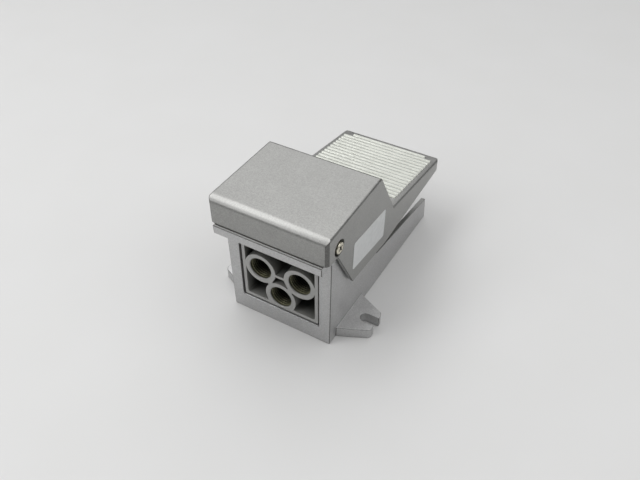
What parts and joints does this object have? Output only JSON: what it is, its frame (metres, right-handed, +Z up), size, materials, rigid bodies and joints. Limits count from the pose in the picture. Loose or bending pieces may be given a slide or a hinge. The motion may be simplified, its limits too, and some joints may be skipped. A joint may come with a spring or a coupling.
{
  "type": "pneumatic foot valve",
  "caption": "Pedal-operated pneumatic spool valve: a die-cast base with mounting ears, a hinged hood with a ribbed tread, and a valve block with tapped ports at the front.",
  "frame": {"origin": "middle of the footprint, on the floor under the base", "axes": "+Z up, -Y towards the ports at the front, +Y towards the heel end of the tread, +X to the right when the ports are looked at"},
  "size_m": [0.093, 0.1402, 0.0803],
  "materials": {
    "silver_paint": "satin silver-grey paint on die-cast aluminium",
    "block_casting": "as cast, matt",
    "cap_alloy": "machined",
    "bright_steel": "ground",
    "zinc_steel": "yellow zinc plated",
    "spring_steel": "drawn wire",
    "bronze": "sintered, matt",
    "seal_rubber": "matt",
    "button_plastic": "moulded acetal"
  },
  "bodies": {
    "base": {"base": "silver_paint", "valve_body": "block_casting", "top_cap": "cap_alloy", "top_cap_gasket": "seal_rubber", "top_cap_screws": "zinc_steel", "stem_seal": "seal_rubber", "bottom_cap": "cap_alloy", "bottom_cap_gasket": "seal_rubber", "bottom_cap_screws": "zinc_steel", "body_screws": "zinc_steel", "exhaust_silencers": "bronze", "spool_spring": "spring_steel", "return_spring": "spring_steel", "stop_bumper": "seal_rubber", "pivot_bushes": "bronze"},
    "pedal": {"pedal": "silver_paint", "pivot_shaft": "bright_steel", "pivot_screws": "zinc_steel", "pivot_washers": "zinc_steel", "press_screw": "bright_steel", "lock_nut": "zinc_steel"},
    "spool": {"spool": "bright_steel", "spool_seals": "seal_rubber", "push_button": "button_plastic"}
  },
  "joints": [
    {"name": "pedal_hinge", "type": "hinge", "parent": "base", "child": "pedal", "pos_m": [0, -0.05835, 0.0685], "axis": [-1, 0, 0], "range_deg": [0, 10], "stiffness_Nm_per_rad": 14, "springref_deg": -5.16, "deforming": ["return_spring"]},
    {"name": "spool_slide", "type": "slide", "parent": "base", "child": "spool", "axis": [0, 0, -1], "range_m": [0, 0.0044], "deforming": ["spool_spring"]}
  ],
  "couplings": [
    {"joint": "spool_slide", "follows": "pedal_hinge", "m_per_rad": 0.0249}
  ]
}
